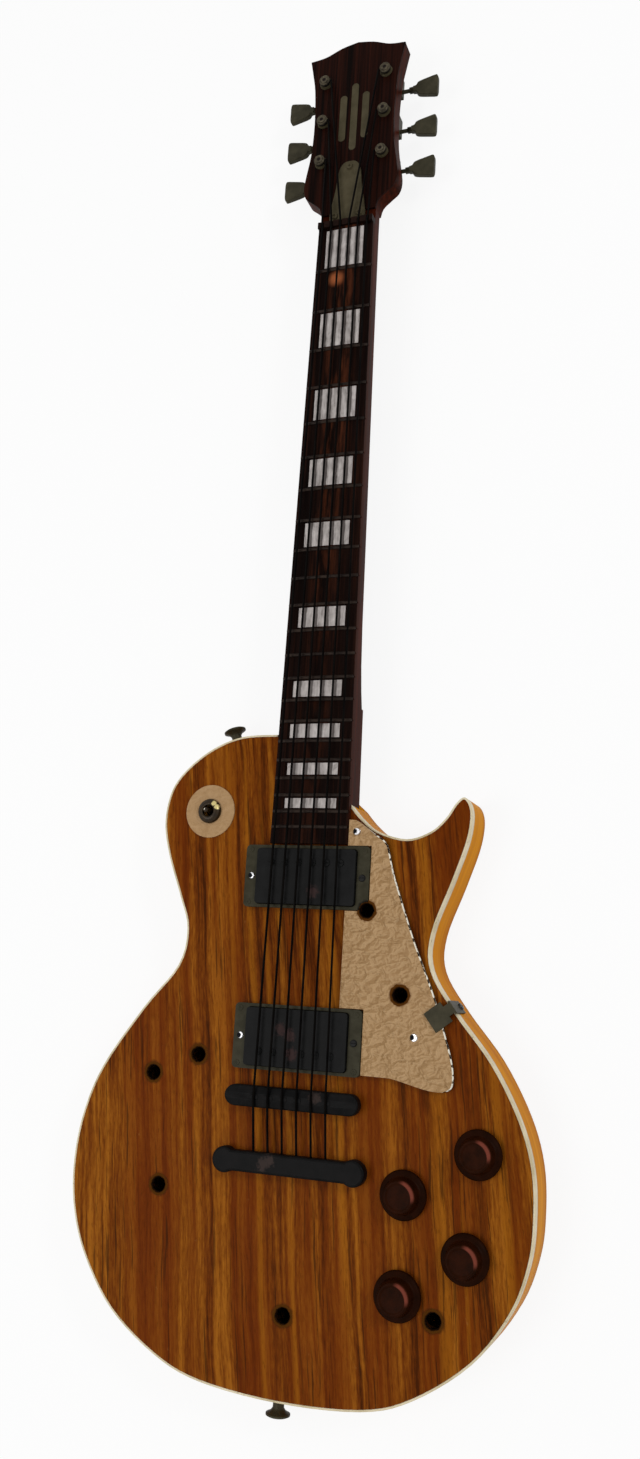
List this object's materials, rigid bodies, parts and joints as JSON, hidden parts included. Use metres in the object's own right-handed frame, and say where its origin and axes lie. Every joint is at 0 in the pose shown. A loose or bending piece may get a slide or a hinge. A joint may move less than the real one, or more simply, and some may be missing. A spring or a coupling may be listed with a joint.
{
  "type": "electric guitar",
  "caption": "Solid-body electric guitar with a cutaway, covered pickups, a bridge, a tailpiece, knobs and a selector; burnt holes pierce its striped top and its pickguard.",
  "frame": {"origin": "on the flat back of the body, under the middle of the bridge", "axes": "+Y along the neck to the headstock, +X to the treble side and the cutaway, +Z out of the face, away from the back it lies on"},
  "size_m": [0.3155, 0.9832, 0.05],
  "materials": {
    "body_back": "gloss amber lacquer",
    "body_binding": "aged",
    "body_top": "worn lacquer over striped figure, scorched",
    "bridge_metal": "dark, worn",
    "bushings": "plain",
    "coils": "plain",
    "dark_screws": "darkened",
    "fret_markers": "polished inlay",
    "fretboard": "oiled",
    "frets": "dull",
    "headstock_face": "gloss lacquer",
    "headstock_ornament": "dull inlay",
    "jack": "plain",
    "knobs": "worn gloss",
    "neck": "satin lacquer",
    "nut": "dull",
    "olive_metal": "dull",
    "pickguard": "textured",
    "pickup_covers": "dark, worn",
    "pickup_rings": "dull",
    "posts": "plain",
    "pots": "plain",
    "rear_covers": "plain",
    "spacers": "plain",
    "strings": "tarnished",
    "switch_metal": "tarnished",
    "switch_washer": "textured",
    "truss_rod": "plain",
    "truss_rod_cover": "dull",
    "tuner_metal": "dull"
  },
  "bodies": {
    "root": {"body_back": "body_back", "body_top": "body_top", "body_binding": "body_binding", "neck": "neck", "truss_rod": "truss_rod", "headstock_face": "headstock_face", "headstock_ornament": "headstock_ornament", "truss_rod_cover": "truss_rod_cover", "fretboard": "fretboard", "frets": "frets", "fret_markers": "fret_markers", "nut": "nut", "neck_pickup_ring": "pickup_rings", "bridge_pickup_ring": "pickup_rings", "neck_pickup_cover": "pickup_covers", "bridge_pickup_cover": "pickup_covers", "neck_pickup_coils": "coils", "bridge_pickup_coils": "coils", "pole_screws": "dark_screws", "pickup_height_screws": "dark_screws", "trim_screws": "dark_screws", "bridge_bar": "bridge_metal", "bridge_saddles": "bridge_metal", "bridge_posts": "bridge_metal", "anchor_bushings": "bushings", "tailpiece": "bridge_metal", "tailpiece_studs": "bridge_metal", "pickguard": "pickguard", "guard_spacers": "spacers", "guard_bracket": "olive_metal", "pots": "pots", "switch_body": "switch_metal", "switch_washer": "switch_washer", "switch_nut": "switch_metal", "output_jack": "jack", "jack_ferrule": "jack", "control_cover": "rear_covers", "switch_cover": "rear_covers", "strap_buttons": "olive_metal", "strap_screws": "dark_screws", "tuner_housings": "tuner_metal", "tuner_bushings": "tuner_metal", "strings": "strings"},
    "neck_volume_knob": {"neck_volume_knob": "knobs"},
    "bridge_volume_knob": {"bridge_volume_knob": "knobs"},
    "neck_tone_knob": {"neck_tone_knob": "knobs"},
    "bridge_tone_knob": {"bridge_tone_knob": "knobs"},
    "switch_lever": {"switch_lever": "switch_metal"},
    "tuner_button_1": {"tuner_button_1": "tuner_metal"},
    "tuner_post_1": {"tuner_post_1": "posts"},
    "tuner_button_2": {"tuner_button_2": "tuner_metal"},
    "tuner_post_2": {"tuner_post_2": "posts"},
    "tuner_button_3": {"tuner_button_3": "tuner_metal"},
    "tuner_post_3": {"tuner_post_3": "posts"},
    "tuner_button_4": {"tuner_button_4": "tuner_metal"},
    "tuner_post_4": {"tuner_post_4": "posts"},
    "tuner_button_5": {"tuner_button_5": "tuner_metal"},
    "tuner_post_5": {"tuner_post_5": "posts"},
    "tuner_button_6": {"tuner_button_6": "tuner_metal"},
    "tuner_post_6": {"tuner_post_6": "posts"}
  },
  "joints": [
    {"name": "neck_volume_knob_turn", "type": "hinge", "parent": "root", "child": "neck_volume_knob", "pos_m": [0.076, -0.05, 0.042], "axis": [0, 0, 1], "range_deg": [-150, 150]},
    {"name": "bridge_volume_knob_turn", "type": "hinge", "parent": "root", "child": "bridge_volume_knob", "pos_m": [0.122, -0.022, 0.042], "axis": [0, 0, 1], "range_deg": [-150, 150]},
    {"name": "neck_tone_knob_turn", "type": "hinge", "parent": "root", "child": "neck_tone_knob", "pos_m": [0.075, -0.108, 0.042], "axis": [0, 0, 1], "range_deg": [-150, 150]},
    {"name": "bridge_tone_knob_turn", "type": "hinge", "parent": "root", "child": "bridge_tone_knob", "pos_m": [0.116, -0.082, 0.042], "axis": [0, 0, 1], "range_deg": [-150, 150]},
    {"name": "switch_lever_tilt", "type": "hinge", "parent": "root", "child": "switch_lever", "pos_m": [-0.076, 0.187, 0.031], "axis": [1, 0, 0], "range_deg": [-12, 12]},
    {"name": "tuner_button_1_turn", "type": "hinge", "parent": "root", "child": "tuner_button_1", "pos_m": [-0.0245, 0.68225, 0.0194], "axis": [-1, 0, 0], "continuous": true},
    {"name": "tuner_post_1_turn", "type": "hinge", "parent": "root", "child": "tuner_post_1", "pos_m": [-0.0245, 0.688, 0.03], "axis": [0, 0, 1], "continuous": true},
    {"name": "tuner_button_2_turn", "type": "hinge", "parent": "root", "child": "tuner_button_2", "pos_m": [-0.0245, 0.71725, 0.0194], "axis": [-1, 0, 0], "continuous": true},
    {"name": "tuner_post_2_turn", "type": "hinge", "parent": "root", "child": "tuner_post_2", "pos_m": [-0.0245, 0.723, 0.03], "axis": [0, 0, 1], "continuous": true},
    {"name": "tuner_button_3_turn", "type": "hinge", "parent": "root", "child": "tuner_button_3", "pos_m": [-0.0245, 0.75225, 0.0194], "axis": [-1, 0, 0], "continuous": true},
    {"name": "tuner_post_3_turn", "type": "hinge", "parent": "root", "child": "tuner_post_3", "pos_m": [-0.0245, 0.758, 0.03], "axis": [0, 0, 1], "continuous": true},
    {"name": "tuner_button_4_turn", "type": "hinge", "parent": "root", "child": "tuner_button_4", "pos_m": [0.0245, 0.75225, 0.0194], "axis": [1, 0, 0], "continuous": true},
    {"name": "tuner_post_4_turn", "type": "hinge", "parent": "root", "child": "tuner_post_4", "pos_m": [0.0245, 0.758, 0.03], "axis": [0, 0, 1], "continuous": true},
    {"name": "tuner_button_5_turn", "type": "hinge", "parent": "root", "child": "tuner_button_5", "pos_m": [0.0245, 0.71725, 0.0194], "axis": [1, 0, 0], "continuous": true},
    {"name": "tuner_post_5_turn", "type": "hinge", "parent": "root", "child": "tuner_post_5", "pos_m": [0.0245, 0.723, 0.03], "axis": [0, 0, 1], "continuous": true},
    {"name": "tuner_button_6_turn", "type": "hinge", "parent": "root", "child": "tuner_button_6", "pos_m": [0.0245, 0.68225, 0.0194], "axis": [1, 0, 0], "continuous": true},
    {"name": "tuner_post_6_turn", "type": "hinge", "parent": "root", "child": "tuner_post_6", "pos_m": [0.0245, 0.688, 0.03], "axis": [0, 0, 1], "continuous": true}
  ],
  "couplings": [
    {"joint": "tuner_post_1_turn", "follows": "tuner_button_1_turn", "ratio": 0.066667},
    {"joint": "tuner_post_2_turn", "follows": "tuner_button_2_turn", "ratio": 0.066667},
    {"joint": "tuner_post_3_turn", "follows": "tuner_button_3_turn", "ratio": 0.066667},
    {"joint": "tuner_post_4_turn", "follows": "tuner_button_4_turn", "ratio": 0.066667},
    {"joint": "tuner_post_5_turn", "follows": "tuner_button_5_turn", "ratio": 0.066667},
    {"joint": "tuner_post_6_turn", "follows": "tuner_button_6_turn", "ratio": 0.066667}
  ]
}
